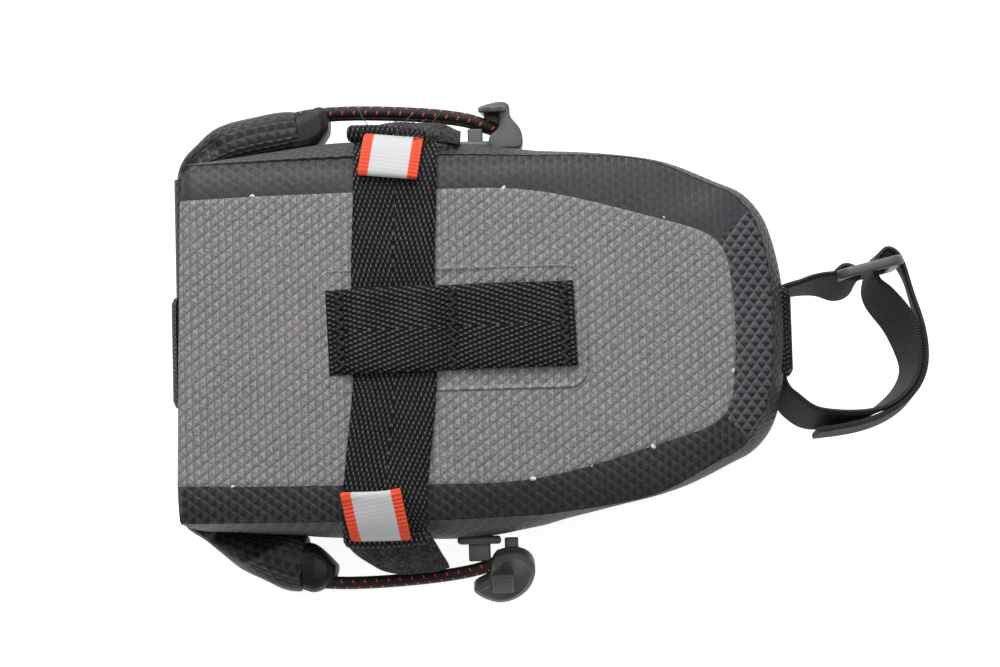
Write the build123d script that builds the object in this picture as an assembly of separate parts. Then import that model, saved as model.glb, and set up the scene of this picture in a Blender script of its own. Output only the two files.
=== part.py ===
from build123d import *
import math
import os

os.makedirs("parts", exist_ok=True)

# A roll-top saddle bag.  Millimetres, +X forward towards the seatpost, +Y to the
# rider's left, +Z up towards the saddle.  The origin is on the flat base.

# Bag body
WALL = 1.2
BASE_TOP = 1.2
PANEL_BOTTOM = 64.0
PANEL_TOP = 65.2
# height, rear x, front x, half-width at the rear, waist, shoulder and nose
LEVELS = [
    (BASE_TOP, -70.0, 60.0, 44.0, 46.0, 37.0, 29.0),
    (12.0, -72.5, 77.0, 50.0, 53.0, 45.0, 36.5),
    (36.0, -77.5, 87.8, 52.0, 57.0, 49.4, 41.0),
    (55.0, -83.5, 87.0, 51.5, 55.6, 48.6, 40.2),
    (PANEL_BOTTOM, -86.0, 82.4, 50.6, 51.0, 46.8, 36.5),
]
WAIST_X = -18.0
BAND = 9.4
FRONT_BAND = 10.0
MOUTH_CLEAR = 6.0

# Saddle rail strap and its keeper on the top panel
WEBBING = 25.0
WEB_THICK = 1.5
PATCH = (-48.0, 32.0, 37.0, 0.8)
KEEPER_X = (-44.0, 28.0)
KEEPER_Y = 2.0
BARTACK_X = (-40.0, -8.0, 24.0)
STRAP_X = (-37.0, -12.0)
STRAP_Z = PANEL_TOP + PATCH[3] + 0.1
HINGE_GAP = 0.6
STRAP_REACH = 58.0

# Roll closure
ROLL_Z = 29.0
ROLL_HALF_WIDTH = 51.0
END_PIVOT = (-87.4, 54.0)
CORD_Z = 36.0
CORD_RADIUS = 1.9
STRAND_GAP = 4.4
CORD_START = (-45.0, 69.4)
CORD_KNEE = (-6.0, 68.6)
CORD_END = (6.5, 63.4)
HOOK_Y = 66.4

# Seatpost strap
POST_STRAP_WIDTH = 20.0
POST_STRAP_Z = 40.0
POST_STRAP_THICK = 1.6
RING_LEFT = (106.0, 16.0)
RING_RIGHT = (122.6, 19.8)
RING_WIRE = 3.0
RING_HEIGHT = 27.0

SIDES = {"left": 1, "right": -1}


def write(shape, node):
    export_step(shape, f"parts/{node}.step")


def for_side(shape, side):
    return shape if side > 0 else mirror(shape, Plane.XZ)


def outline(level, inset=0.0, extra_rear=0.0):
    """The closed plan outline of the bag at one height."""
    z, rear, front, rear_half, waist, shoulder, nose = level
    half = [
        (rear - extra_rear, rear_half - inset),
        (WAIST_X, waist - inset),
        (front - 37.0, shoulder - inset),
        (front - 15.0, nose - inset),
        (front - 4.0 - inset, nose - 10.0 - 0.6 * inset),
        (front - 0.9 - inset, (nose - 10.0) / 2),
    ]
    points = half + [(front - inset, 0.0)] + [(x, -y) for x, y in reversed(half)]
    side = Spline(*[(x, y, z) for x, y in points])
    rear_edge = Line((points[-1][0], points[-1][1], z), (points[0][0], points[0][1], z))
    return make_face([side, rear_edge])


def ribbon(points, thickness, low, high, plane=Plane.XY, count=14):
    """A strap that follows a smooth line in a plane, from low to high across it."""
    line = Spline(*points)
    inner, outer = [], []
    for i in range(count + 1):
        at = line.position_at(i / count)
        along = line.tangent_at(i / count)
        normal = Vector(-along.Y, along.X, 0).normalized() * (thickness / 2)
        inner.append(at - normal)
        outer.append(at + normal)
    face = make_face(
        [
            Spline(*inner),
            Line(inner[-1], outer[-1]),
            Spline(*reversed(outer)),
            Line(outer[0], inner[0]),
        ]
    )
    return plane * (Pos(0, 0, low) * extrude(face, high - low, dir=(0, 0, 1)))


def band(points, thickness, low, high, plane):
    """A strap along straight runs, with its thickness measured across the plane's y."""
    half = thickness / 2
    lower = [(u, v - half) for u, v in points]
    upper = [(u, v + half) for u, v in reversed(points)]
    face = make_face(Polyline(*lower, *upper, close=True))
    return plane * (Pos(0, 0, low) * extrude(face, high - low, dir=(0, 0, 1)))


def block(x, y, z):
    """A box from three (low, high) pairs."""
    return Pos(sum(x) / 2, sum(y) / 2, sum(z) / 2) * Box(x[1] - x[0], y[1] - y[0], z[1] - z[0])


# ---- bag body ----


def side_gusset():
    """The U-shaped wall round both sides and the front, open at the rear mouth."""
    outer = loft([outline(level) for level in LEVELS])
    inner = loft([outline(level, WALL, MOUTH_CLEAR) for level in LEVELS])
    return outer - inner


def plate(level, low, high, inset=0.0):
    face = outline((low,) + level[1:], inset)
    return extrude(face, high - low, dir=(0, 0, 1))


def grey_panel_outline(low, high):
    """The light panel inside the dark band, flush with the rear edge."""
    _, rear, front, rear_half, waist, shoulder, nose = LEVELS[-1]
    inner = (low, rear, front - FRONT_BAND, rear_half - BAND, waist - BAND, shoulder - BAND - 2.5, nose - BAND)
    return extrude(outline(inner), high - low, dir=(0, 0, 1))


whole_top = plate(LEVELS[-1], PANEL_BOTTOM, PANEL_TOP)
top_panel = grey_panel_outline(PANEL_BOTTOM, PANEL_TOP)
top_border = whole_top - top_panel
write(side_gusset(), "side_gusset")
write(top_panel, "top_panel")
write(top_border, "top_border")
write(plate(LEVELS[0], 0.0, BASE_TOP), "base_panel")

board = plate(LEVELS[0], BASE_TOP, BASE_TOP + 1.5, WALL + 2.5)
write(board & block((-66.0, 50.0), (-60, 60), (0, 5)), "base_board")

# ---- rail strap keeper ----

PATCH_TOP = PANEL_TOP + PATCH[3]
patch = block(PATCH[:2], (KEEPER_Y - PATCH[2] / 2, KEEPER_Y + PATCH[2] / 2), (PANEL_TOP, PATCH_TOP))
write(fillet(patch.edges().filter_by(Axis.Z), 7.0), "strap_patch")

KEEPER_LIFT = STRAP_Z + WEB_THICK + 0.1 - PATCH_TOP
flat_z = PATCH_TOP + WEB_THICK / 2
high_z = flat_z + KEEPER_LIFT
keeper_line = [
    (KEEPER_X[0], flat_z),
    (BARTACK_X[0] + 0.6, flat_z),
    (STRAP_X[0] - 0.2, high_z),
    (STRAP_X[1] + 0.2, high_z),
    (BARTACK_X[1] - 0.8, flat_z),
    (KEEPER_X[1], flat_z),
]
keeper_plane = Plane(origin=(0, 0, 0), x_dir=(1, 0, 0), z_dir=(0, -1, 0))
keeper_span = (-KEEPER_Y - WEBBING / 2, -KEEPER_Y + WEBBING / 2)
write(band(keeper_line, WEB_THICK, *keeper_span, keeper_plane), "keeper_webbing")

for name, x in zip(("rear", "middle", "front"), BARTACK_X):
    across = (KEEPER_Y - WEBBING / 2 + 0.8, KEEPER_Y + WEBBING / 2 - 0.8)
    tack_z = PATCH_TOP + WEB_THICK + 0.25
    write(block((x - 0.8, x + 0.8), across, (tack_z, tack_z + 0.6)), f"keeper_bartack_{name}")

KEEPER_EDGES = {side: KEEPER_Y + s * WEBBING / 2 for side, s in SIDES.items()}
strap_z = (STRAP_Z, STRAP_Z + WEB_THICK)
centre_y = (KEEPER_EDGES["right"] - 0.1, KEEPER_EDGES["left"] + 0.1)
write(block(STRAP_X, centre_y, strap_z), "rail_strap_centre")

# ---- rail strap halves, with their hems, loop-faced ends and pull tabs ----

along_x = Plane(origin=(0, 0, 0), x_dir=(0, 1, 0), z_dir=(1, 0, 0))
mid_z = STRAP_Z + WEB_THICK / 2
for name, side in SIDES.items():
    start = abs(KEEPER_EDGES[name]) + HINGE_GAP
    strap_line = [
        (side * start, mid_z),
        (side * 48.0, mid_z),
        (side * 52.0, mid_z - 1.0),
        (side * STRAP_REACH, mid_z - 5.0),
    ]
    strap = band(strap_line, WEB_THICK, *STRAP_X, along_x)
    hem = Pos(sum(STRAP_X) / 2, side * (STRAP_REACH + 1.4), mid_z - 6.2)
    strap += hem * Rot(0, 90, 0) * Cylinder(2.0, STRAP_X[1] - STRAP_X[0])
    write(strap, f"rail_strap_{name}")

    loop_line = [
        (side * (STRAP_REACH + 2.6), mid_z - 9.0),
        (side * (STRAP_REACH + 3.6), mid_z - 12.0),
        (side * (STRAP_REACH + 6.0), mid_z - 16.0),
    ]
    loop_x = (STRAP_X[0] + 1.0, STRAP_X[1] + (8.0 if side > 0 else 3.0))
    write(ribbon(loop_line, 1.8, *loop_x, along_x), f"loop_tape_{name}")

    tab_lift = 0.75 + WEB_THICK / 2 + 0.4
    tab_line = [
        (side * (STRAP_REACH - 0.8), mid_z - 4.2 + tab_lift + 0.3),
        (side * 51.5, mid_z - 0.6 + tab_lift),
        (side * 45.0, mid_z + tab_lift),
    ]
    write(ribbon(tab_line, 1.5, -31.5, -14.5, along_x), f"pull_tab_{name}")

# ---- roll closure ----

rear_line = [(rear - 0.8 - WALL / 2, z) for z, rear, *_ in LEVELS]
rear_points = [(x, z) for x, z in rear_line]
rear_points[0] = (rear_points[0][0] - 0.2, BASE_TOP + 1.6)
rear_points[-1] = (rear_points[-1][0] + 0.2, PANEL_BOTTOM - 1.2)
rear_plane = Plane(origin=(0, 0, 0), x_dir=(1, 0, 0), z_dir=(0, -1, 0))
write(ribbon(rear_points, WALL, -50.0, 50.0, rear_plane), "rear_panel")

roll_x = -84.4
roll_face = Pos(roll_x, ROLL_Z) * Rot(0, 0, 12) * Ellipse(4.6, 13.0)
roll = rear_plane * (Pos(0, 0, -ROLL_HALF_WIDTH) * extrude(roll_face, 2 * ROLL_HALF_WIDTH))
strip_face = Pos(roll_x, ROLL_Z) * Rot(0, 0, 12) * Rectangle(1.2, 18.0)
strip_length = ROLL_HALF_WIDTH - 3.0
strip = rear_plane * (Pos(0, 0, -strip_length) * extrude(strip_face, 2 * strip_length))
write(roll - strip, "collar_roll")
write(strip, "collar_stiffener")

light_x = -90.7
light_line = [(light_x + 0.9, ROLL_Z + 11.5), (light_x, ROLL_Z + 4.0), (light_x + 0.2, ROLL_Z - 5.0)]
write(ribbon(light_line, 1.4, -18.0, 14.0, rear_plane), "light_loop")

# ---- folded roll ends, elastic cords and hooks ----


def cord_path():
    top, bottom = CORD_Z + STRAND_GAP / 2, CORD_Z - STRAND_GAP / 2
    out = [(*CORD_START, top), (*CORD_KNEE, top), (*CORD_END, top)]
    back = [(*CORD_END, bottom), (*CORD_KNEE, bottom), (*CORD_START, bottom)]
    knee = 0.45 * math.dist(CORD_KNEE, CORD_END)
    turn = math.atan2(CORD_KNEE[1] - CORD_END[1], CORD_END[0] - CORD_KNEE[0])
    turn -= math.atan2(CORD_START[1] - CORD_KNEE[1], CORD_KNEE[0] - CORD_START[0])
    knee_radius = knee / math.tan(turn / 2)
    end_radius = 0.45 * STRAND_GAP
    return FilletPolyline(*out, *back, radius=[knee_radius, end_radius, end_radius, knee_radius])


def swept(path, radius):
    return sweep(Plane(path @ 0, z_dir=path % 0) * Circle(radius), path)


def roll_end():
    """The folded end of the roll, a wedge that lies along the side wall."""
    px, py = END_PIVOT
    wedge = make_face(
        Polyline(
            (px - 1.0, py - 0.6),
            (px + 2.0, py - 0.6),
            (-75.0, 58.6),
            (-53.0, 60.0),
            (-50.0, 63.0),
            (-50.0, 72.0),
            (-55.0, 73.4),
            (-66.0, 69.4),
            (-79.0, 64.5),
            (px - 1.4, py + 2.0),
            close=True,
        )
    )
    solid = Pos(0, 0, ROLL_Z - 12.0) * extrude(wedge, 26.0, dir=(0, 0, 1))
    return solid


def end_tongue():
    """The webbing tongue sewn in the roll end, with the cord running out of it."""
    return block((-49.9, CORD_START[0] - 0.1), (65.4, 72.6), (CORD_Z - 7.0, CORD_Z + 7.0))


def hook_anchor():
    plate_part = block((-8.0, 5.0), (57.5, 59.6), (CORD_Z - 7.0, CORD_Z + 7.0))
    boss = block((-3.6, 1.6), (59.6, 62.2), (CORD_Z - 4.0, CORD_Z + 3.0))
    return plate_part + boss


def cord_hook(lean):
    """A thumb-shaped hook that the cord loop runs through; lean tips its foot outward."""
    outline_points = [(-2.5, 3.5), (1.0, 7.6), (9.0, 8.0), (14.0, 4.0), (14.2, -3.0), (9.0, -8.0), (1.0, -8.6), (-2.6, -3.0)]
    head = extrude(make_face(Spline(*outline_points, periodic=True)), 3.6, dir=(0, 0, 1))
    wall_plane = Plane(origin=(0, HOOK_Y, CORD_Z), x_dir=(1, 0, 0), z_dir=(0, 1, 0))
    head = wall_plane * mirror(head, Plane.XZ)
    leaned = Pos(0, HOOK_Y, CORD_Z) * Rot(lean, 0, 0) * Pos(0, -HOOK_Y, -CORD_Z) * head
    pocket = block((3.0, 10.6), (60.8, HOOK_Y + 2.0), (CORD_Z - 5.4, CORD_Z + 5.4))
    strut = block((9.0, 12.4), (58.6, HOOK_Y + 1.0), (CORD_Z - 3.5, CORD_Z + 4.0))
    return leaned + pocket + strut - cord_room()


def cord_room():
    """A slot, a little wider than the cord loop, along the loop's last run."""
    run = math.dist(CORD_KNEE, CORD_END)
    turn = math.degrees(math.atan2(CORD_END[1] - CORD_KNEE[1], CORD_END[0] - CORD_KNEE[0]))
    width = 2 * (CORD_RADIUS + 0.35)
    slot = Box(run + width, width, STRAND_GAP + width)
    middle = ((CORD_KNEE[0] + CORD_END[0]) / 2, (CORD_KNEE[1] + CORD_END[1]) / 2, CORD_Z)
    return Pos(*middle) * Rot(0, 0, turn) * slot


HOOK_LEAN = {"left": 4.0, "right": 50.0}
path = cord_path()
cord = swept(path, CORD_RADIUS)
print("cord volume", round(cord.volume, 1), "section x length", round(math.pi * CORD_RADIUS**2 * path.length, 1))
for name, side in SIDES.items():
    write(for_side(roll_end(), side), f"collar_end_{name}")
    write(for_side(end_tongue(), side), f"end_tongue_{name}")
    write(for_side(hook_anchor(), side), f"hook_anchor_{name}")
    write(for_side(cord, side), f"elastic_cord_{name}")
    write(for_side(cord_hook(HOOK_LEAN[name]), side), f"cord_hook_{name}")

# ---- seatpost strap ----

strap_low = POST_STRAP_Z - POST_STRAP_WIDTH / 2
strap_high = POST_STRAP_Z + POST_STRAP_WIDTH / 2
base_line = [(89.2, -13.4), (89.7, -7.0), (89.8, 0.0), (89.7, 7.0), (89.2, 13.4)]
write(ribbon(base_line, POST_STRAP_THICK, strap_low, strap_high), "seatpost_strap_base")

keeper_front = [(91.0, -12.5), (91.5, -6.5), (91.6, 0.0), (91.5, 6.5), (91.0, 12.5)]
front_keeper = ribbon(keeper_front, WEB_THICK, strap_low - 5.0, strap_high + 5.0)
write(front_keeper, "front_keeper")
for name, low in (("upper", strap_high + 1.6), ("lower", strap_low - 4.4)):
    tack = ribbon([(x - 1.55, y) for x, y in keeper_front], 1.5, low, low + 2.8)
    write(tack, f"front_keeper_tack_{name}")

lead_line = [(95.0, 15.4), (97.0, 15.8), (99.6, 16.2), (RING_LEFT[0] - 2.4, RING_LEFT[1] + 0.4)]
write(ribbon(lead_line, POST_STRAP_THICK, strap_low, strap_high), "seatpost_strap_lead")

loop_points = [
    (95.0, -20.8),
    (98.0, -23.6),
    (102.0, -25.4),
    (107.0, -26.2),
    (113.0, -25.0),
    (119.0, -22.3),
    (123.3, -18.4),
    (125.0, -13.4),
    (124.4, -7.6),
    (120.6, 0.4),
    (116.8, 6.0),
    (115.0, 11.0),
    (115.4, 16.6),
]
write(ribbon(loop_points, POST_STRAP_THICK, strap_low, strap_high, count=30), "seatpost_strap_loop")

tail_points = [
    (122.0, 23.0),
    (124.6, 22.4),
    (126.6, 19.6),
    (128.4, 12.0),
    (130.4, 2.0),
    (131.2, -7.2),
    (129.4, -16.3),
    (125.4, -23.4),
    (119.4, -27.6),
    (112.0, -29.2),
    (104.5, -29.6),
    (97.6, -28.4),
]
write(ribbon(tail_points, POST_STRAP_THICK, strap_low, strap_high, count=30), "seatpost_strap_tail")


def strap_ring():
    """A rectangular ring, on edge, with its two long bars upright."""
    dx, dy = RING_RIGHT[0] - RING_LEFT[0], RING_RIGHT[1] - RING_LEFT[1]
    width = math.hypot(dx, dy) + RING_WIRE
    outer = fillet(Box(width, RING_WIRE, RING_HEIGHT).edges().filter_by(Axis.Y), 2.4)
    window = Box(width - 2 * RING_WIRE, 2 * RING_WIRE, RING_HEIGHT - 2 * RING_WIRE)
    middle = ((RING_LEFT[0] + RING_RIGHT[0]) / 2, (RING_LEFT[1] + RING_RIGHT[1]) / 2)
    turn = math.degrees(math.atan2(dy, dx))
    return Pos(*middle, POST_STRAP_Z) * Rot(0, 0, turn) * (outer - window)


write(strap_ring(), "strap_ring")
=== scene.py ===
import bpy
import math
import numpy as np
from mathutils import Matrix, Vector, noise


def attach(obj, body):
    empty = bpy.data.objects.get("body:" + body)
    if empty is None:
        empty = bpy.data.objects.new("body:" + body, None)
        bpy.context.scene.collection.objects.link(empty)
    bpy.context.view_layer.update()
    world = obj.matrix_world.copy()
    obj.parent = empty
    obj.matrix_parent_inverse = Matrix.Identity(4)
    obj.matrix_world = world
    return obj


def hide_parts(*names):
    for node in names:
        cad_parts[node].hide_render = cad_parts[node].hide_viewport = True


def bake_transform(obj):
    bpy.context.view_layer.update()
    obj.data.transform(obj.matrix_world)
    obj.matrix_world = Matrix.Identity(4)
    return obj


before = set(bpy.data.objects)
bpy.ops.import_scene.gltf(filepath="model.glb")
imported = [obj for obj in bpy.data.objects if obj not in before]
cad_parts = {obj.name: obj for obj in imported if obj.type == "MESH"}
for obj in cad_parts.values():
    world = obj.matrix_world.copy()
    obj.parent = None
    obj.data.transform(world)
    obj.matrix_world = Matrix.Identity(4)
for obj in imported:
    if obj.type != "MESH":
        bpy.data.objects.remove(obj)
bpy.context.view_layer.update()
millimetre = 0.001
print("frame loaded")


def splineThrough(points, count):
    # a smooth line through the points, as count points evenly spaced along it
    knots = np.array(points, float)
    if len(knots) == 2:
        return knots[0] + np.linspace(0, 1, count)[:, None] * (knots[1] - knots[0])
    step = np.linalg.norm(np.diff(knots, axis=0), axis=1) ** 0.5
    at = np.concatenate([[0], np.cumsum(step)])
    gap = np.diff(at)
    n = len(at)
    system, right = np.eye(n), np.zeros((n, knots.shape[1]))
    for i in range(1, n - 1):
        system[i, i - 1 : i + 2] = gap[i - 1], 2 * (gap[i - 1] + gap[i]), gap[i]
        right[i] = 6 * ((knots[i + 1] - knots[i]) / gap[i] - (knots[i] - knots[i - 1]) / gap[i - 1])
    bend = np.linalg.solve(system, right)
    fine = np.linspace(0, at[-1], 40 * n)
    i = np.clip(np.searchsorted(at, fine) - 1, 0, n - 2)
    a, b, h = at[i + 1] - fine, fine - at[i], gap[i]
    a, b, h = a[:, None], b[:, None], h[:, None]
    line = bend[i] * a**3 / (6 * h) + bend[i + 1] * b**3 / (6 * h)
    line += (knots[i] / h - bend[i] * h / 6) * a + (knots[i + 1] / h - bend[i + 1] * h / 6) * b
    return evenly(line, count)


def evenly(line, count):
    along = np.concatenate([[0], np.cumsum(np.linalg.norm(np.diff(line, axis=0), axis=1))])
    at = np.linspace(0, along[-1], count)
    return np.stack([np.interp(at, along, line[:, k]) for k in range(line.shape[1])], axis=1)


def lengthsAlong(spots, axis):
    steps = np.linalg.norm(np.diff(spots, axis=axis), axis=2)
    zeros = np.zeros_like(np.take(steps, [0], axis=axis))
    return np.concatenate([zeros, np.cumsum(steps, axis=axis)], axis=axis)


def selectOnly(piece):
    bpy.ops.object.select_all(action="DESELECT")
    piece.select_set(True)
    bpy.context.view_layer.objects.active = piece


def applyModifiers(piece):
    selectOnly(piece)
    for modifier in list(piece.modifiers):
        bpy.ops.object.modifier_apply(modifier=modifier.name)


def editMesh(piece, *steps):
    selectOnly(piece)
    bpy.ops.object.mode_set(mode="EDIT")
    bpy.ops.mesh.select_all(action="SELECT")
    for step in steps:
        step()
    bpy.ops.object.mode_set(mode="OBJECT")


def mergeDoubles():
    bpy.ops.mesh.remove_doubles(threshold=0.000004)


def faceOutwards():
    bpy.ops.mesh.normals_make_consistent(inside=False)


def gridPiece(name, spots, uv=None, flip=False):
    # a grid primitive laid on spots[row][column]; its UV map is in millimetres
    rows, columns = spots.shape[0] - 1, spots.shape[1] - 1
    bpy.ops.object.select_all(action="DESELECT")
    bpy.ops.mesh.primitive_grid_add(x_subdivisions=columns, y_subdivisions=rows, size=2, calc_uvs=True)
    piece = bpy.context.object
    piece.name = piece.data.name = name
    mesh = piece.data
    flat = np.zeros(len(mesh.vertices) * 3)
    mesh.vertices.foreach_get("co", flat)
    flat = flat.reshape(-1, 3)
    column = np.rint((flat[:, 0] + 1) / 2 * columns).astype(int)
    row = np.rint((flat[:, 1] + 1) / 2 * rows).astype(int)
    mesh.vertices.foreach_set("co", (spots[row, column] * millimetre).ravel())
    if uv is None:
        uv = np.stack([lengthsAlong(spots, 1), lengthsAlong(spots, 0)], axis=2)
    corner = np.zeros(len(mesh.loops), int)
    mesh.loops.foreach_get("vertex_index", corner)
    mesh.uv_layers[0].data.foreach_set("uv", uv[row[corner], column[corner]].ravel())
    mesh.update()
    if flip:
        editMesh(piece, bpy.ops.mesh.flip_normals)
    return piece


slotOf = {
    "greyEmbossed": "grey_fabric",
    "blackEmbossedTop": "black_fabric",
    "blackEmbossedWall": "black_fabric",
    "blackEmbossedRoll": "black_fabric",
    "blackWebbing": "webbing",
    "frayedFibre": "webbing",
    "loopTape": "loop_tape",
    "closureTape": "loop_tape",
    "reflectiveRibbon": "reflective_tab",
    "braidedElastic": "elastic_cord",
    "mouldedPlastic": "moulded_plastic",
    "shadedRingPlastic": "moulded_plastic",
    "blackThread": "thread",
    "weldGlue": "thread",
    "satinTape": "tongue_tape",
    "boardSheet": "stiffener",
}


def finishPiece(piece, material, body, *nodes, slot=None):
    applyModifiers(piece)
    bpy.ops.object.shade_smooth_by_angle(angle=math.radians(35))
    piece.data.materials.clear()
    piece.data.materials.append(material)
    if body:
        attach(piece, body)
    if nodes:
        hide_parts(*nodes)
    slot = slot or slotOf[material.name]


def addThickness(piece, thickness, offset=-1.0):
    sheet = piece.modifiers.new("thickness", "SOLIDIFY")
    sheet.thickness = thickness * millimetre
    sheet.offset = offset
    applyModifiers(piece)


def hump(value, middle, width):
    return np.exp(-(((value - middle) / width) ** 2))


def axes(spots):
    # the X, Y and Z values of a grid; a change to them changes the grid
    return spots[:, :, 0], spots[:, :, 1], spots[:, :, 2]


def roughness(spots, size, height, seed=0.0):
    # soft unevenness of cloth, the same on every run
    flat = spots.reshape(-1, 3) / size + seed
    return np.array([noise.noise(Vector(p)) for p in flat]).reshape(spots.shape[:2]) * height


def frames(line, side):
    # the across and outward directions along a line, from the direction that should be across
    side = np.broadcast_to(np.array(side, float), line.shape)
    along = np.gradient(line, axis=0)
    along /= np.linalg.norm(along, axis=1)[:, None]
    across = side - along * np.sum(side * along, axis=1)[:, None]
    across /= np.linalg.norm(across, axis=1)[:, None]
    return across, np.cross(across, along)


def strapPiece(name, line, width, thickness, side, relief=None):
    # webbing with rounded selvedges that follows line, with its width along side
    across, outward = frames(line, side)
    half = 20
    spread = np.linspace(-1, 1, half + 1)
    spread = np.concatenate([spread, spread[::-1][1:]])
    edge = np.clip((1 - np.abs(spread)) / 0.06, 0, 1)
    flatX = spread * width / 2
    flatZ = np.sqrt(1 - (1 - edge) ** 2) * thickness / 2
    flatZ[half + 1 :] *= -1
    flatZ[0] = flatZ[-1] = 0
    length = lengthsAlong(line[:, None, :], 0)
    bump = relief(flatX[None, :], length) if relief else np.zeros((len(line), len(flatX)))
    flat = line[:, None, :] + across[:, None, :] * flatX[None, :, None]
    spots = flat + outward[:, None, :] * (flatZ[None, :, None] + bump[:, :, None])
    uv = np.stack(np.broadcast_arrays(flatX[None, :], length), axis=2)
    ends = flat + outward[:, None, :] * bump[:, :, None]
    return closedGrid(name, ends[:1], spots, ends[-1:], uv)


def closedGrid(name, first, spots, last, uv):
    # a grid closed by a row at each end, with its seams joined
    spots = np.concatenate([first, spots, last])
    piece = gridPiece(name, spots, np.concatenate([uv[:1], uv, uv[-1:]]))
    editMesh(piece, mergeDoubles, faceOutwards)
    return piece


def tubePiece(name, line, radius, around=12, section=None, side=(0, 0, 1)):
    # a round or shaped tube along a line, closed at both ends; the UV map is (turn, length)
    across, outward = frames(line, side)
    turn = np.linspace(0, 2 * math.pi, around + 1)
    x, y = section(turn) if section else (np.cos(turn), np.sin(turn))
    size = np.broadcast_to(np.array(radius, float), (len(line), 2))
    wide, high = x * size[:, :1], y * size[:, 1:]
    spots = line[:, None, :] + across[:, None, :] * wide[:, :, None]
    spots = spots + outward[:, None, :] * high[:, :, None]
    length = lengthsAlong(line[:, None, :], 0)
    uv = np.stack(np.broadcast_arrays(turn[None, :] / (2 * math.pi), length), axis=2)
    ends = np.repeat(line[:, None, :], around + 1, axis=1)
    return closedGrid(name, ends[:1], spots, ends[-1:], uv)


def squircle(power):
    def section(turn):
        x, y = np.cos(turn), np.sin(turn)
        return np.sign(x) * np.abs(x) ** power, np.sign(y) * np.abs(y) ** power

    return section


def mathsMethod(kind, swap=False):
    return lambda self, *others: self.maths(kind, *others, swap=swap)


class Wire:
    # one value in a material's node tree, so that shader maths reads as sums
    def __init__(self, tree, socket):
        self.tree = tree
        self.socket = socket

    def maths(self, kind, *others, swap=False):
        node = self.tree.nodes.new("ShaderNodeMath")
        node.operation = kind
        values = [self, *others]
        if swap:
            values.reverse()
        for spot, value in zip(node.inputs, values):
            if isinstance(value, Wire):
                self.tree.links.new(value.socket, spot)
            else:
                spot.default_value = value
        return Wire(self.tree, node.outputs[0])

    __add__ = __radd__ = mathsMethod("ADD")
    __sub__ = mathsMethod("SUBTRACT")
    __rsub__ = mathsMethod("SUBTRACT", swap=True)
    __mul__ = mathsMethod("MULTIPLY")
    __truediv__ = mathsMethod("DIVIDE")
    fraction = mathsMethod("FRACT")
    floor = mathsMethod("FLOOR")
    size = mathsMethod("ABSOLUTE")
    least = mathsMethod("MINIMUM")
    most = mathsMethod("MAXIMUM")
    over = mathsMethod("GREATER_THAN")

    def zigzag(self):
        # 0 in the middle of each turn and 1 at its ends
        return (self.fraction() - 0.5).size() * 2.0

    def clamped(self):
        return self.least(1.0).most(0.0)

    def ramp(self, low, high):
        # 0 below low, 1 above high, straight between
        return ((self - low) / (high - low)).clamped().maths("SMOOTH_MIN", 1.0, 0.0)


def socketName(label):
    # baseColor stands for Base Color; specular for Specular IOR Level
    if label == "specular":
        return "Specular IOR Level"
    return "".join(" " + c if c.isupper() else c for c in label).capitalize().title()


class Finish:
    def __init__(self, name, **sockets):
        self.material = bpy.data.materials.new(name)
        self.material.use_nodes = True
        self.tree = self.material.node_tree
        self.shader = self.tree.nodes["Principled BSDF"]
        for label, value in sockets.items():
            self.shader.inputs[socketName(label)].default_value = value

    def node(self, kind, settings=None, sockets=None, out=0):
        node = self.tree.nodes.new(kind)
        for key, value in (settings or {}).items():
            setattr(node, key, value)
        for key, value in (sockets or {}).items():
            if isinstance(value, Wire):
                self.tree.links.new(value.socket, node.inputs[key])
            else:
                node.inputs[key].default_value = value
        return Wire(self.tree, node.outputs[out])

    def split(self, vector):
        node = self.tree.nodes.new("ShaderNodeSeparateXYZ")
        self.tree.links.new(vector.socket, node.inputs[0])
        return [Wire(self.tree, socket) for socket in node.outputs]

    def objectPlace(self):
        return self.node("ShaderNodeTexCoord", out="Object")

    def uvPlace(self):
        return self.node("ShaderNodeTexCoord", out="UV")

    def grain(self, vector, scale, detail=2.0, rough=0.5):
        sockets = {"Vector": vector, "Scale": scale, "Detail": detail, "Roughness": rough}
        return self.node("ShaderNodeTexNoise", {}, sockets)

    def mix(self, factor, *shades):
        # each shade is a wire or (red, green, blue)
        first, second = (shade if isinstance(shade, Wire) else colour(*shade) for shade in shades)
        sockets = {0: factor, 6: first, 7: second}
        return self.node("ShaderNodeMix", {"data_type": "RGBA"}, sockets, out=2)

    def bump(self, height, depth):
        # height in 0..1 stands for depth millimetres
        sockets = {"Height": height, "Distance": depth * millimetre, "Strength": 1.0}
        return self.node("ShaderNodeBump", {}, sockets)

    def cloth(self, body, rough, height, depth):
        wires = {"baseColor": body, "roughness": rough, "normal": self.bump(height, depth)}
        for label, wire in wires.items():
            self.tree.links.new(wire.socket, self.shader.inputs[socketName(label)])
        return self.material


def colour(red, green, blue):
    return (red, green, blue, 1.0)


view = {"lens": 100.0, "distance": 793.7, "tilt": 4.7, "roll": 1.6, "aim": (5.72, 0.27, 65.2)}


def addCamera():
    tilt, roll = math.radians(view["tilt"]), math.radians(view["roll"])
    aim = Vector(view["aim"]) * millimetre
    back = Vector((0, -math.sin(tilt), math.cos(tilt)))
    right = Vector((math.cos(roll), -math.sin(roll), 0))
    up = back.cross(right).normalized()
    right = up.cross(back).normalized()
    bpy.ops.object.camera_add()
    camera = bpy.context.object
    camera.name = "viewCamera"
    camera.data.lens = view["lens"]
    camera.data.clip_start = 0.01
    place = aim + back * view["distance"] * millimetre
    rows = [[right[i], up[i], back[i], place[i]] for i in range(3)] + [[0, 0, 0, 1]]
    camera.matrix_world = Matrix(rows)
    bpy.context.scene.camera = camera


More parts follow.
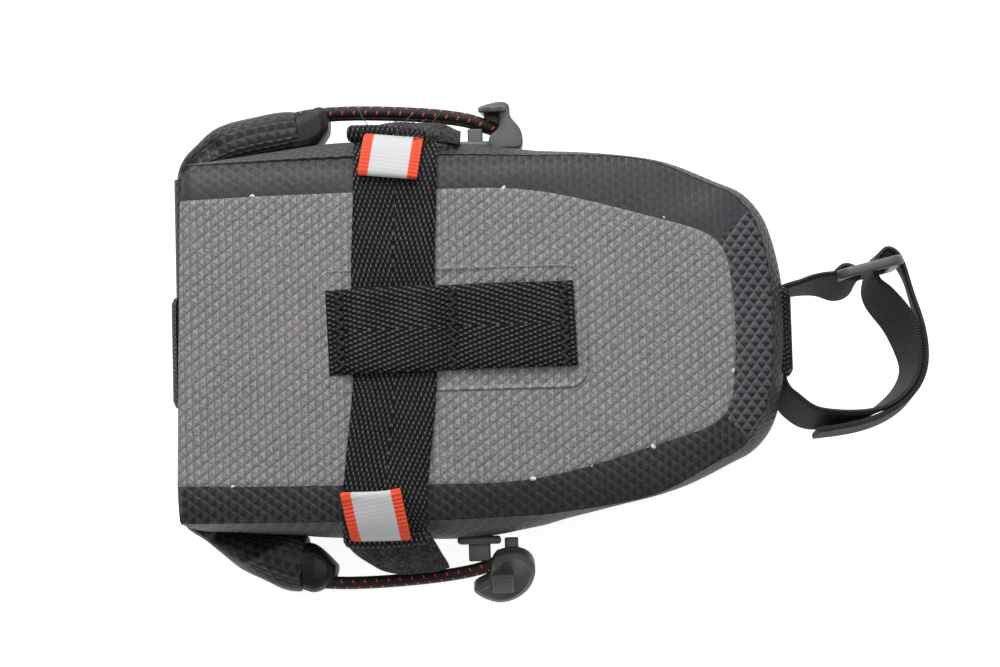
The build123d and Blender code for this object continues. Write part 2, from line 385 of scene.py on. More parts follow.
lamps = {
    "keyLamp": {"at": (-0.25, 1.25, 0.95), "size": 0.9, "watts": 25.0},
    "fillLamp": {"at": (0.5, -1.0, 1.0), "size": 0.9, "watts": 1.5},
    "topLamp": {"at": (0.1, 0.25, 1.6), "size": 0.8, "watts": 6.0},
}


def addLight():
    for name, lamp in lamps.items():
        bpy.ops.object.light_add(type="AREA", location=lamp["at"])
        light = bpy.context.object
        light.name = name
        light.data.size = lamp["size"]
        light.data.energy = lamp["watts"]
        light.rotation_euler = (-Vector(lamp["at"])).to_track_quat("-Z", "Y").to_euler()
    world = bpy.data.worlds.new("studio")
    world.use_nodes = True
    world.node_tree.nodes["Background"].inputs[0].default_value = colour(1.0, 1.0, 1.0)
    world.node_tree.nodes["Background"].inputs[1].default_value = 0.22
    bpy.context.scene.world = world
    bpy.context.scene.view_settings.view_transform = "Standard"


def addFloor():
    bpy.ops.mesh.primitive_plane_add(size=6.0, location=(0, 0, -0.0002))
    floor = bpy.context.object
    floor.name = "paleFloor"
    white = colour(1.0, 1.0, 1.0)
    grey = colour(0.6, 0.6, 0.6)
    glow = {"emissionColor": white, "emissionStrength": 0.85}
    paper = Finish("palePaper", baseColor=grey, roughness=0.9, **glow)
    floor.data.materials.append(paper.material)


addCamera()
addLight()
addFloor()
print("camera, light and floor added")


emboss = {"base": 3.08, "row": 2.06, "depth": 0.2}


def triangles(across, up):
    # a lattice of triangles, bases across and every second one pointing up: how far inside
    # its triangle a point is (0 at the edges), and whether the triangle is a raised one
    a = (across / emboss["base"] + up / (2 * emboss["row"])).fraction()
    b = (across / emboss["base"] - up / (2 * emboss["row"])).fraction()
    rim = (a - b).size().least(a.least(b)).least(1.0 - a.most(b))
    return rim, a.over(b)


def greyEmbossed():
    finish = Finish("greyEmbossed", specular=0.3)
    place = finish.objectPlace()
    x, y, z = finish.split(place)
    wobble = (finish.grain(place, 500.0, 2.0) - 0.5) * 0.55
    fine = finish.grain(place, 1900.0, 3.0, 0.7)
    coarse = finish.grain(place, 800.0, 2.0, 0.6)
    cloud = finish.grain(place, 45.0, 3.0, 0.55)
    rim, raised = triangles(y * 1000.0 + wobble, x * 1000.0 + wobble)
    hollow = 1.0 - raised
    speck = ((fine - 0.5) * 1.9 + (coarse - 0.5) * 1.2 + 0.5).clamped()
    body = finish.mix(speck, (0.105, 0.105, 0.124), (0.305, 0.295, 0.305))
    tan = hollow * rim.ramp(0.07, 0.15) * (coarse * 1.1 + 0.15).clamped()
    body = finish.mix(tan * 0.8, body, (0.4, 0.352, 0.32))
    # painted shade: the triangle edges are darkened along the emboss grooves, patchy with the cloud
    # noise
    line = (1.0 - rim.ramp(0.0, 0.075)) * (cloud * 0.8 + 0.3).clamped()
    body = finish.mix(line * 0.8, body, (0.052, 0.05, 0.062))
    height = raised * (rim * 3.0) + speck * 0.12
    rough = 0.62 - speck * 0.1
    return finish.cloth(body, rough, height, emboss["depth"])


def blackEmbossed(name, kind):
    # the same emboss on black cloth; its triangles turn with the strip at the front of the border
    finish = Finish(name, specular=0.4 if kind == "wall" else 0.35)
    place = finish.objectPlace()
    fine = finish.grain(place, 1900.0, 3.0, 0.7)
    wobble = (finish.grain(place, 420.0, 2.0) - 0.5) * 0.5
    if kind == "top":
        x, y, z = finish.split(place)
        front = (x * 1000.0 - 44.0).over(y.size() * 1000.0)
        across = x * front + y * (1.0 - front)
        up = y * front + x * (1.0 - front)
        across, up = across * 1000.0, up * 1000.0
        pressed = finish.grain(place, 70.0, 2.0).ramp(0.12, 0.4)
        crestLine = 1.0 - (y.size() * 1000.0).ramp(48.6, 50.0)
        worn = pressed * (1.0 - front) * y.over(0.0) * crestLine
    else:
        turn, along, _ = finish.split(finish.uvPlace())
        across, up = (along, turn) if kind == "wall" else (along, turn * 66.0)
        worn = fine * 0.0
    rim, raised = triangles(across + wobble, up + wobble)
    speck = ((fine - 0.5) * 1.8 + 0.5).clamped()
    hollow = (1.0 - raised) * rim.ramp(0.02, 0.1)
    tone = 0.5 if kind == "wall" else 1.0
    shades = (0.021, 0.0215, 0.025), (0.06, 0.061, 0.068)
    dark, light = [[value * tone for value in shade] for shade in shades]
    body = finish.mix(speck, dark, light)
    if kind == "top":
        shaded = (y * -1000.0).ramp(37.0, 45.0) * (x * 1000.0).ramp(-50.0, 0.0) * (1.0 - front)
        body = finish.mix(shaded * 0.42, body, (0.008, 0.008, 0.01))
        # painted highlight: the front strip of the border is lightened
        body = finish.mix(front * 0.55, body, (0.118, 0.12, 0.13))
    if kind == "wall":
        # painted highlight: the middles of the raised triangles on the wall are lightened, like sheen
        # on each bump
        body = finish.mix(raised * rim.ramp(0.1, 0.26) * 0.5, body, (0.056, 0.056, 0.055))
    # painted shade: the recessed triangles are darkened, less so in the pressed, worn patches
    body = finish.mix(hollow * (1.0 - worn * 0.85), body, (0.011, 0.011, 0.014))
    height = (raised * (rim * 3.0) + hollow * -0.15) * (1.0 - worn * 0.7) + speck * 0.12
    rough = 0.56 - speck * 0.1 + hollow * 0.1
    return finish.cloth(body, rough, height, emboss["depth"] * 1.15)


weave = {"across": 1.41, "along": 1.32, "depth": 0.5}


def webbingCloth(name, dark, light, gap):
    # slanting rows of plump yarn floats with painted shade in the gaps between them and painted
    # highlights on their crowns, mirrored about the strap's middle line
    finish = Finish(name, specular=0.2)
    u, v, _ = finish.split(finish.uvPlace())
    solid = finish.objectPlace()
    wander = (finish.grain(solid, 300.0, 2.0) - 0.5) * 0.5
    u, v = u + wander, v + wander * 0.6
    row = (v / weave["along"]).floor()
    up = (v / weave["along"]).fraction() - 0.5
    over = (u.size() / weave["across"] + row * 0.32).fraction() - 0.5
    slant = up + over * 0.5
    hole = 1.0 - (over * over / 0.075 + slant * slant / 0.11).maths("SQRT").ramp(0.62, 1.3)
    beside = 0.5 - over.size()
    crown = 1.0 - (beside * beside / 0.1 + up * up / 0.24).maths("SQRT").ramp(0.1, 1.0)
    twist = finish.grain(solid, 1500.0, 3.0, 0.7)
    patchy = finish.grain(solid, 120.0, 2.0)
    # painted highlight on the crown of each float, varied by the yarn twist and patchy noise
    lit = (crown * 1.1 + (twist - 0.5) * 1.3 + (patchy - 0.5) * 0.5 - 0.08).clamped()
    yarn = finish.mix(lit, dark, light)
    # painted shade: the gaps between the floats take the near-black gap colour
    body = finish.mix(hole, yarn, gap)
    height = (1.0 - hole) * 0.7 + crown * 0.35 + twist * 0.1
    return finish.cloth(body, 0.6 - crown * 0.12, height, weave["depth"])


def fuzzyTape(name, dark, light):
    # the felt-like loop side of hook-and-loop tape
    finish = Finish(name, specular=0.1, sheenWeight=0.04, sheenRoughness=0.6)
    solid = finish.objectPlace()
    loops = finish.grain(solid, 1300.0, 4.0, 0.75)
    tufts = finish.grain(solid, 380.0, 3.0, 0.65)
    shade = ((loops - 0.42) * 2.6 + (tufts - 0.5) * 0.8).clamped()
    body = finish.mix(shade, dark, light)
    return finish.cloth(body, loops * 0.1 + 0.8, loops * 0.7 + tufts * 0.6, 0.5)


def closureTape():
    # fine diagonal ribs under a nap of short loops
    finish = Finish("closureTape", specular=0.2)
    u, v, _ = finish.split(finish.uvPlace())
    solid = finish.objectPlace()
    nap = finish.grain(solid, 1500.0, 4.0, 0.8)
    tufts = finish.grain(solid, 420.0, 3.0, 0.65)
    ribs = (v * 1.25 + u * 0.55).zigzag()
    sparks = nap.ramp(0.6, 0.68) * tufts.ramp(0.45, 0.6)
    body = finish.mix(ribs * 0.6 + nap * 0.4, (0.008, 0.008, 0.009), (0.05, 0.05, 0.05))
    body = finish.mix(sparks * 0.7, body, (0.16, 0.16, 0.18))
    height = ribs * 0.5 + nap * 0.6 + tufts * 0.3
    return finish.cloth(body, nap * 0.2 + 0.6, height, 0.3)


def ribbonCloth():
    # reflective ribbon with bright woven edges; u runs across it from its middle
    finish = Finish("reflectiveRibbon", specular=0.35)
    u, v, _ = finish.split(finish.uvPlace())
    solid = finish.objectPlace()
    fine = finish.grain(solid, 2200.0, 3.0, 0.7)
    cloud = finish.grain(solid, 90.0, 2.0)
    wander = (finish.grain(solid, 350.0, 2.0) - 0.5) * 0.5
    edge = (u.size() + wander * 0.3).ramp(5.55, 5.75)
    cords = ((v + wander * 0.4) * 0.85).fraction() - 0.5
    picks = (1.0 - (cords.size() * 2.0)).clamped()
    threads = (u * 3.4 + wander).zigzag()
    silver = finish.mix(fine * 0.7 + cloud * 0.3, (0.47, 0.475, 0.49), (0.64, 0.645, 0.66))
    silver = finish.mix(picks * 0.12, silver, (0.4, 0.41, 0.43))
    orange = finish.mix(fine * 0.5 + picks * 0.35, (1.0, 0.04, 0.016), (1.0, 0.17, 0.068))
    body = finish.mix(edge, silver, orange)
    ribs = picks * (0.16 + edge * 1.3) + threads * (0.1 + edge * 0.5) + fine * 0.3
    return finish.cloth(body, 0.48 + edge * 0.2, ribs, 0.16)


def braidedElastic():
    # a fine braided sheath with two rows of short bright tracer stitches on each face
    finish = Finish("braidedElastic", specular=0.3)
    turn, along, _ = finish.split(finish.uvPlace())
    solid = finish.objectPlace()
    fine = finish.grain(solid, 2000.0, 2.0, 0.6)
    left = ((turn * 11.0 + along * 1.1).fraction() - 0.5).size()
    right = ((turn * 11.0 - along * 1.1).fraction() - 0.5).size()
    plait = (left + right).clamped()
    fold = turn.least(1.0 - turn)
    tick = turn * 0.0
    for place, phase in ((0.105, 0.0), (0.29, 0.5)):
        beside = (fold - place).size()
        spot = (along / 3.45 + phase + (fold - place) * 0.9).fraction() - 0.5
        tick = tick.most((1.0 - spot.size().ramp(0.05, 0.085)) * (1.0 - beside.ramp(0.038, 0.056)))
    body = finish.mix(plait * 0.6 + fine * 0.4, (0.004, 0.004, 0.005), (0.026, 0.026, 0.028))
    body = finish.mix(tick, body, (0.9, 0.065, 0.02))
    return finish.cloth(body, fine * 0.15 + 0.42, plait + fine * 0.3 + tick * 0.6, 0.12)


def mouldedPlastic(name, dark, light):
    finish = Finish(name, specular=0.5)
    solid = finish.objectPlace()
    sand = finish.grain(solid, 2600.0, 3.0, 0.6)
    cloud = finish.grain(solid, 120.0, 2.0)
    body = finish.mix(sand * 0.4 + cloud * 0.6, dark, light)
    return finish.cloth(body, sand * 0.14 + 0.34, sand, 0.035)


def sewingThread(name, dark, light):
    finish = Finish(name, specular=0.3)
    turn, along, _ = finish.split(finish.uvPlace())
    ply = (turn * 2.0 + along * 1.6).zigzag()
    body = finish.mix(ply, dark, light)
    return finish.cloth(body, ply * 0.1 + 0.5, ply, 0.1)


def satinTape():
    finish = Finish("satinTape", specular=0.28)
    solid = finish.objectPlace()
    x, y, z = finish.split(solid)
    ribs = (z * 1900.0).zigzag()
    fine = finish.grain(solid, 1500.0, 2.0)
    body = finish.mix(ribs * 0.5 + fine * 0.5, (0.003, 0.003, 0.004), (0.022, 0.022, 0.025))
    return finish.cloth(body, fine * 0.15 + 0.36, ribs, 0.08)


def boardSheet():
    finish = Finish("boardSheet", specular=0.4)
    grain = finish.grain(finish.objectPlace(), 700.0, 3.0)
    body = finish.mix(grain, (0.03, 0.03, 0.032), (0.06, 0.06, 0.063))
    return finish.cloth(body, grain * 0.2 + 0.45, grain, 0.06)


greyCloth = greyEmbossed()
bandCloth = blackEmbossed("blackEmbossedTop", "top")
wallCloth = blackEmbossed("blackEmbossedWall", "wall")
rollCloth = blackEmbossed("blackEmbossedRoll", "roll")
webbing = webbingCloth("blackWebbing", (0.005, 0.005, 0.006), (0.128, 0.128, 0.129), (0.001,) * 3)
loopTape = fuzzyTape("loopTape", (0.008, 0.008, 0.009), (0.125, 0.123, 0.122))
strapTape = closureTape()
ribbon = ribbonCloth()
elastic = braidedElastic()
plastic = mouldedPlastic("mouldedPlastic", (0.062, 0.062, 0.064), (0.13, 0.129, 0.131))
# painted shade: the ring gets a darker copy of the hook plastic
shadedRingPlastic = mouldedPlastic("shadedRingPlastic", (0.058, 0.058, 0.059), (0.11, 0.109, 0.11))
thread = sewingThread("blackThread", (0.003, 0.003, 0.004), (0.03, 0.03, 0.036))
satin = satinTape()
board = boardSheet()
print("finishes made")


# height, rear x, front x, half-width at the rear, waist, shoulder and nose
bagLevels = [
    (63.0, -85.3, 83.4, 50.6, 51.8, 47.8, 38.4), (55.0, -83.5, 86.8, 51.7, 55.4, 47.9, 39.2),
    (36.0, -77.5, 86.6, 52.4, 56.8, 46.6, 38.6), (12.0, -72.5, 76.0, 50.0, 53.0, 43.6, 35.2),
    (1.3, -70.0, 60.0, 44.0, 46.0, 37.0, 29.0),
]


def planOutline(level, count):
    # from the rear left corner round the front to the rear right corner
    z, rear, front, rearHalf, waist, shoulder, nose = level
    half = [
        (rear, rearHalf), (-52.0, rearHalf * 0.45 + waist * 0.55), (-18.0, waist),
        (8.0, waist * 0.78 + shoulder * 0.22 + 0.3), (front - 37.0, shoulder),
        (front - 24.0, shoulder * 0.42 + nose * 0.58 + 0.5), (front - 15.0, nose),
        (front - 11.0, nose - 1.9), (front - 7.4, nose - 5.2), (front - 4.4, nose - 9.8),
        (front - 2.4, nose - 15.5), (front - 1.0, nose - 22.5),
    ]
    return mirroredLine(half, (front, 0.0), z, count)


def mirroredLine(half, tip, z, count):
    points = half + [tip] + [(x, -y) for x, y in reversed(half)]
    line = splineThrough(points, count)
    return np.column_stack([line, np.full(count, z)])


def inset(line, distance):
    # the same plan line moved inwards
    along = np.gradient(line[:, :2], axis=0)
    along /= np.linalg.norm(along, axis=1)[:, None]
    moved = line.copy()
    moved[:, 0] += along[:, 1] * distance
    moved[:, 1] -= along[:, 0] * distance
    return moved


def spine(line, limit):
    # the points on the middle line that a plan outline closes down to
    return np.column_stack([np.minimum(line[:, 0], limit), np.zeros(len(line)), line[:, 2]])


wall = {"columns": 360, "rows": 60, "thickness": 0.9}


def makeWall():
    levels = splineThrough(bagLevels, wall["rows"] + 1)
    spots = np.stack([planOutline(level, wall["columns"] + 1) for level in levels])
    outward = spots - np.roll(spots, 1, axis=1)
    away = np.stack([outward[:, :, 1], -outward[:, :, 0], np.zeros_like(outward[:, :, 0])], axis=2)
    away /= np.maximum(np.linalg.norm(away, axis=2), 1e-6)[:, :, None]
    away[:, 0] = away[:, 1]
    fade = np.sin(np.linspace(0, math.pi, wall["rows"] + 1))[:, None]
    bulge = roughness(spots, 26.0, 0.9) + roughness(spots, 11.0, 0.25, 7.0)
    spots = spots + away * (bulge * fade)[:, :, None] * -1.0
    x, y, z = axes(spots)
    y += 1.3 * hump(x, 45.0, 26.0) * fade
    high = hump(z, 52.0, 9.0) * np.clip(y / 20.0, 0, 1)
    y += 2.4 * hump(x, -40.0, 34.0) * high
    swingFront(spots)
    skewRear(spots)
    piece = gridPiece("sideWall", spots, flip=True)
    addThickness(piece, wall["thickness"])
    finishPiece(piece, wallCloth, "bag", "side_gusset")


border = {"columns": 380, "rows": 14}
panelEdge = {
    "z": 65.5,
    "tip": (72.9, 0.0),
    "half": [
        (-85.7, 40.9), (-60.0, 41.6), (-20.0, 42.1), (0.0, 42.3), (12.0, 41.7), (24.0, 39.7),
        (37.0, 36.4), (48.0, 33.2), (58.0, 30.3), (64.0, 28.2), (68.4, 25.2), (71.0, 20.8),
        (72.1, 14.0), (72.7, 7.0),
    ],
}


def panelOutline(count):
    return mirroredLine(panelEdge["half"], panelEdge["tip"], panelEdge["z"], count)


def makeBorder():
    outer = planOutline(bagLevels[0], border["columns"] + 1)
    inner = panelOutline(border["columns"] + 1)
    steps = np.linspace(0, 1, border["rows"] + 1)
    rows = []
    swingFront(outer[None])
    for w in steps:
        line = outer * (1 - w) + inner * w
        line[:, 2] = outer[:, 2] + (inner[:, 2] - outer[:, 2]) * math.sin(w * math.pi / 2) ** 0.8
        rows.append(line)
    lip = inset(outer, -0.5)
    lip[:, 2] -= 1.4
    spots = np.stack([lip, *rows])
    arch = np.concatenate([[0], np.sin(steps * math.pi)])[:, None]
    x, y, z = axes(spots)
    z += roughness(spots, 14.0, 0.5, 3.0) * arch
    z -= rearDrop(x)
    skewRear(spots)
    piece = gridPiece("topBorder", spots)
    addThickness(piece, 0.7)
    finishPiece(piece, bandCloth, "bag", "top_border")


def swingFront(spots):
    # the nose of the bag leans a little to its left
    x, y, _ = axes(spots)
    y += 2.3 * np.clip((x - 18.0) / 55.0, 0, 1) ** 0.8


def skewRear(spots):
    # the rear edge isn't quite square to the bag
    x, y, _ = axes(spots)
    near = np.clip((-62.0 - x) / 20.0, 0, 1)
    x += near * y / 45.0 * 1.2


def rearDrop(x):
    # the top rolls over its rear edge
    return np.clip((-82.4 - x) / 3.9, 0, 1.2) ** 2 * 2.8


panel = {"columns": 380, "rows": 56, "crown": 0.35}


def makePanel():
    edge = panelOutline(panel["columns"] + 1)
    middle = spine(edge, 44.0)
    w = np.linspace(0, 1, panel["rows"] + 1)[:, None]
    spots = edge * (1 - w[:, :, None]) + middle * w[:, :, None]
    x, y, z = axes(spots)
    z += panel["crown"] * (1 - (1 - w) ** 2) + 0.12
    z += roughness(spots, 30.0, 0.45, 5.0) * np.clip(w * 6, 0, 1)
    z -= rearDrop(x)
    z -= 0.35 * hump(w * 41.0, 0, 0.6)
    skewRear(spots)
    piece = gridPiece("greyPanel", spots)
    editMesh(piece, mergeDoubles)
    addThickness(piece, 0.8)
    finishPiece(piece, greyCloth, "bag", "top_panel")


def makeBase():
    rim = planOutline(bagLevels[-1], 241)
    under = inset(rim, 0.9)
    under[:, 2] = 0.5
    foot = inset(rim, 2.4)
    foot[:, 2] = 0.03
    middle = spine(foot, 30.0)
    flat = [foot * (1 - w) + middle * w for w in np.linspace(0, 1, 21)]
    spots = np.stack([rim, under, *flat])
    piece = gridPiece("basePanel", spots)
    editMesh(piece, mergeDoubles)
    addThickness(piece, 0.9)
    finishPiece(piece, bandCloth, "bag", "base_panel")


makeWall()
makeBorder()
makePanel()
makeBase()
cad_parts["base_board"].data.materials.clear()
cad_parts["base_board"].data.materials.append(board)
print("bag body made")


patch = {"low": (-48.5, -17.0), "high": (31.8, 20.8), "corner": 7.0, "top": 66.75}


def roundedBox(u, v, low, high, corner):
    # how far inside a rounded rectangle a point is, in millimetres
    centre = (np.array(low) + np.array(high)) / 2
    half = (np.array(high) - np.array(low)) / 2 - corner
    pastX, pastY = np.abs(u - centre[0]), np.abs(v - centre[1])
    dx, dy = np.maximum(pastX - half[0], 0), np.maximum(pastY - half[1], 0)
    inside = np.minimum(half[0] + corner - pastX, half[1] + corner - pastY)
    return np.where((dx > 0) & (dy > 0), corner - np.hypot(dx, dy), inside)


def makePatch():
    x = np.linspace(patch["low"][0] - 1, patch["high"][0] + 1, 240)
    y = np.linspace(patch["low"][1] - 1, patch["high"][1] + 1, 130)
    spots = np.stack([*np.meshgrid(x, y), np.zeros((130, 240))], axis=2)
    x, y, z = axes(spots)
    depth = roundedBox(x, y, patch["low"], patch["high"], patch["corner"])
    rise = np.clip(depth / 1.6, 0, 1)
    z += patch["top"] - 1.3 + rise**0.7 * 1.1 + hump(depth, 1.5, 0.8) * 0.6
    z += roughness(spots, 12.0, 0.16, 2.0)
    piece = gridPiece("strapPatch", spots)
    addThickness(piece, 0.6)
    finishPiece(piece, greyCloth, "bag", "strap_patch")


keeper = {"x": (-43.4, 26.7), "y": 2.1, "width": 24.4, "thickness": 1.5, "tacks": (-40.0, -8.0, 24.0)}


def makeKeeper():
    low, high = patch["top"] + 0.95, patch["top"] + 2.75
    route = [
        (keeper["x"][0], keeper["y"] - 0.6, low - 0.1), (-40.0, keeper["y"] - 0.5, low - 0.25),
        (-36.0, keeper["y"] - 0.4, high - 0.2), (-25.0, keeper["y"] - 0.2, high + 0.25),
        (-13.0, keeper["y"], high - 0.2), (-8.0, keeper["y"] + 0.1, low - 0.2),
        (-3.0, keeper["y"] + 0.2, low + 0.35), (8.0, keeper["y"] + 0.3, low + 0.6),
        (19.0, keeper["y"] + 0.3, low + 0.35), (24.0, keeper["y"] + 0.4, low - 0.2),
        (keeper["x"][1] + 0.6, keeper["y"] + 0.5, low),
    ]
    line = splineThrough(route, 150)
    piece = strapPiece("keeperWebbing", line, keeper["width"], keeper["thickness"], (0, 1, 0))
    finishPiece(piece, webbing, "bag", "keeper_webbing")
    for label, x in zip(("rear", "middle", "front"), keeper["tacks"]):
        points = []
        for i in range(17):
            y = keeper["y"] - 11.3 + 22.6 * i / 16 + 0.1
            lift = 0.25 if i % 2 else -0.2
            points.append((x + (0.85 if i % 2 else -0.6), y, low + 0.82 + lift))
        stitches = splineThrough(points, 180)
        tack = tubePiece(f"keeperTack_{label}", stitches, 0.62, 8)
        finishPiece(tack, thread, "bag", f"keeper_bartack_{label}")


makePatch()
makeKeeper()
print("patch and keeper made")


rail = {"x": (-36.4, -12.5), "middle": 67.55, "thickness": 1.4, "drift": {"left": 1.4, "right": -4.2}}
sides = {"left": 1, "right": -1}
keeperEdge = {"left": 14.5, "right": -10.5}


def makeRailStrap():
    centreX = sum(rail["x"]) / 2
    width = rail["x"][1] - rail["x"][0]
    ends = keeperEdge["right"] + 1.5, keeperEdge["left"] - 1.5
    line = splineThrough([(centreX, y, rail["middle"]) for y in ends], 40)
    piece = strapPiece("railStrapCentre", line, width, rail["thickness"], (1, 0, 0))
    finishPiece(piece, webbing, "bag", "rail_strap_centre")
    for name, side in sides.items():
        start = abs(keeperEdge[name]) - 1.6
        drift = rail["drift"][name]
        route = [
            (centreX, side * start, rail["middle"]),
            (centreX + drift * 0.1, side * (start + 8), rail["middle"] + 0.25),
            (centreX + drift * 0.65, side * 36.0, rail["middle"] + 0.2),
            (centreX + drift * 0.9, side * 46.0, rail["middle"] - 0.3),
            (centreX + drift, side * 51.5, rail["middle"] - 2.0),
            (centreX + drift, side * 56.0, rail["middle"] - 4.8),
            (centreX + drift, side * 58.2, rail["middle"] - 6.6),
        ]
        line = splineThrough(route, 110)
        strap = strapPiece(f"railStrap_{name}", line, width, rail["thickness"], (side, 0, 0))
        finishPiece(strap, webbing, None, f"rail_strap_{name}")
        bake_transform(strap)
        hemRoute = {
            "left": [(-36.9, 59.6, 61.4), (-24.0, 59.2, 61.9), (-12.3, 57.6, 61.6)],
            "right": [(-40.2, -57.0, 61.6), (-28.0, -57.6, 61.4), (-16.0, -56.6, 61.8)],
        }
        hemLine = splineThrough(hemRoute[name], 60)
        radius = roundedRadius(60, 2.5, 2.2)
        hem = tubePiece(f"railHem_{name}", hemLine, radius, 28, squircle(0.8), (0, 1, 0))
        hemCloth(hem)
        finishPiece(hem, webbing, f"rail_{name}")


def roundedRadius(count, wide, high):
    # full along its length and rounded at both ends
    reach = np.minimum(np.arange(count), np.arange(count)[::-1]) / (count * 0.07)
    ease = 0.45 + 0.55 * np.sqrt(np.clip(1 - (1 - np.clip(reach, 0, 1)) ** 2, 0, 1))
    return np.column_stack([wide * ease, high * ease])


def hemCloth(hem):
    # lay the weave across the rolled hem instead of round a tube
    layer = hem.data.uv_layers[0]
    uv = np.zeros(len(layer.data) * 2)
    layer.data.foreach_get("uv", uv)
    uv = uv.reshape(-1, 2)
    uv = np.stack([uv[:, 1] - 12.5, uv[:, 0] * 14.0], axis=1)
    layer.data.foreach_set("uv", uv.ravel())


tapeFlap = {
    "left": {
        "top": [(-31.0, 56.6, 62.6), (-20.0, 56.8, 62.4), (-10.0, 56.4, 61.2), (-4.6, 55.6, 59.0)],
        "low": [(-31.0, 61.8, 57.0), (-22.0, 62.6, 55.6), (-12.0, 62.4, 54.0), (-4.2, 60.4, 52.6)],
    },
    "right": {
        "top": [(-40.0, -56.2, 61.0), (-33.0, -57.0, 62.0), (-22.0, -56.4, 62.0), (-16.2, -55.2, 61.0)],
        "low": [(-39.4, -58.2, 57.6), (-33.6, -63.4, 54.8), (-23.0, -67.0, 52.4), (-10.8, -65.4, 51.2)],
    },
}


def makeLoopTapes():
    for name, flap in tapeFlap.items():
        top, low = splineThrough(flap["top"], 60), splineThrough(flap["low"], 60)
        w = np.linspace(0, 1, 26)[:, None, None]
        spots = top[None] * (1 - w) + low[None] * w
        x, y, z = axes(spots)
        w = w[:, :, 0]
        z += np.sin(w * math.pi) * 1.8
        ripple = np.sin(np.linspace(0, 11.0, 60))[None, :] * 0.4 + roughness(spots, 5.0, 1.2, 4.0)
        z += ripple * w
        y += ripple * w * 0.4
        piece = gridPiece(f"loopTape_{name}", spots)
        addThickness(piece, 1.6, 0.0)
        editMesh(piece, faceOutwards)
        finishPiece(piece, loopTape, f"rail_{name}", f"loop_tape_{name}")


tabRoute = {
    "left": {"foot": (-23.2, 58.6), "tip": (-25.2, 46.2), "shear": 0.1},
    "right": {"foot": (-29.6, -58.0), "tip": (-32.1, -44.6), "shear": 0.0},
}


def makePullTabs():
    # a folded ribbon: out along the strap and back under itself
    for name, side in sides.items():
        tab = tabRoute[name]
        heights = [(0.0, 62.9), (0.12, 65.6), (0.4, 67.9), (0.75, 69.4), (1.0, 70.1)]
        under = [(1.04, 69.5), (0.95, 69.0), (0.5, 67.2), (0.1, 63.6)]
        route = []
        for share, z in heights + under:
            x = tab["foot"][0] * (1 - share) + tab["tip"][0] * share
            y = tab["foot"][1] * (1 - share) + tab["tip"][1] * share
            route.append((x, y, z))
        line = splineThrough(route, 90)

        def puff(u, v):
            return 0.14 * np.sin(v * 0.45) + u * 0.0

        piece = strapPiece(f"pullTab_{name}", line, 17.0, 0.6, (side, -tab["shear"], 0), puff)
        finishPiece(piece, ribbon, f"tab_{name}", f"pull_tab_{name}")


makeRailStrap()
makeLoopTapes()
makePullTabs()
print("rail strap made")


closure = {"x": -84.4, "z": 29.0}


def makeRearPanel():
    stops = [(-85.2, 63.3), (-83.8, 55.0), (-77.7, 36.0), (-72.7, 12.0), (-70.2, 1.2)]
    profile = splineThrough(stops, 60)
    half = np.interp(profile[:, 1], [2, 12, 36, 55, 63], [45.2, 50.4, 52.8, 52.1, 50.8])
    y = np.linspace(-1, 1, 121)
    same = np.ones(121)
    spots = [np.column_stack([x * same, y * h, z * same]) for (x, z), h in zip(profile, half)]
    spots = np.stack(spots)
    skewRear(spots)
    inside = np.clip((1 - y**4) * 1.5, 0, 1)[None, :]
    x, y, z = axes(spots)
    x -= 2.2 * inside * hump(z, closure["z"], 12.0)
    x += roughness(spots, 18.0, 0.8, 9.0) * inside
    piece = gridPiece("rearPanel", spots)
    addThickness(piece, 0.9, 0.0)
    editMesh(piece, faceOutwards)
    finishPiece(piece, wallCloth, None, "rear_panel")
    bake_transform(piece)


def rollSection(turn):
    # a flat roll with the step of its outer turn
    x, y = np.cos(turn), np.sin(turn)
    step = 1.0 + 0.07 * (turn / (2 * math.pi) - 0.5)
    return np.sign(x) * np.abs(x) ** 0.75 * step, np.sign(y) * np.abs(y) ** 0.9 * step


def makeRoll():
    x, z = closure["x"], closure["z"]
    line = splineThrough([(x, -50.8, z), (x, 0, z - 0.2), (x, 50.8, z)], 90)
    lean = (-0.21, 0, 0.98)
    piece = tubePiece("collarRoll", line, [(13.0, 4.7)] * 90, 72, rollSection, lean)
    finishPiece(piece, rollCloth, "closure", "collar_roll")
    strip = splineThrough([(x, -49.6, z), (x, 49.6, z)], 20)
    strip = strapPiece("collarStiffener", strip, 18.0, 1.2, lean)
    finishPiece(strip, board, "closure", "collar_stiffener")
    loop = [(-88.9, 41.4), (-90.3, 38.5), (-90.9, 33.0), (-90.7, 27.0), (-89.5, 23.4)]
    loop = splineThrough([(x, -0.5, z) for x, z in loop], 40)
    light = strapPiece("lightLoop", loop, 32.0, 1.4, (0, 1, 0))
    finishPiece(light, webbing, "closure", "light_loop")


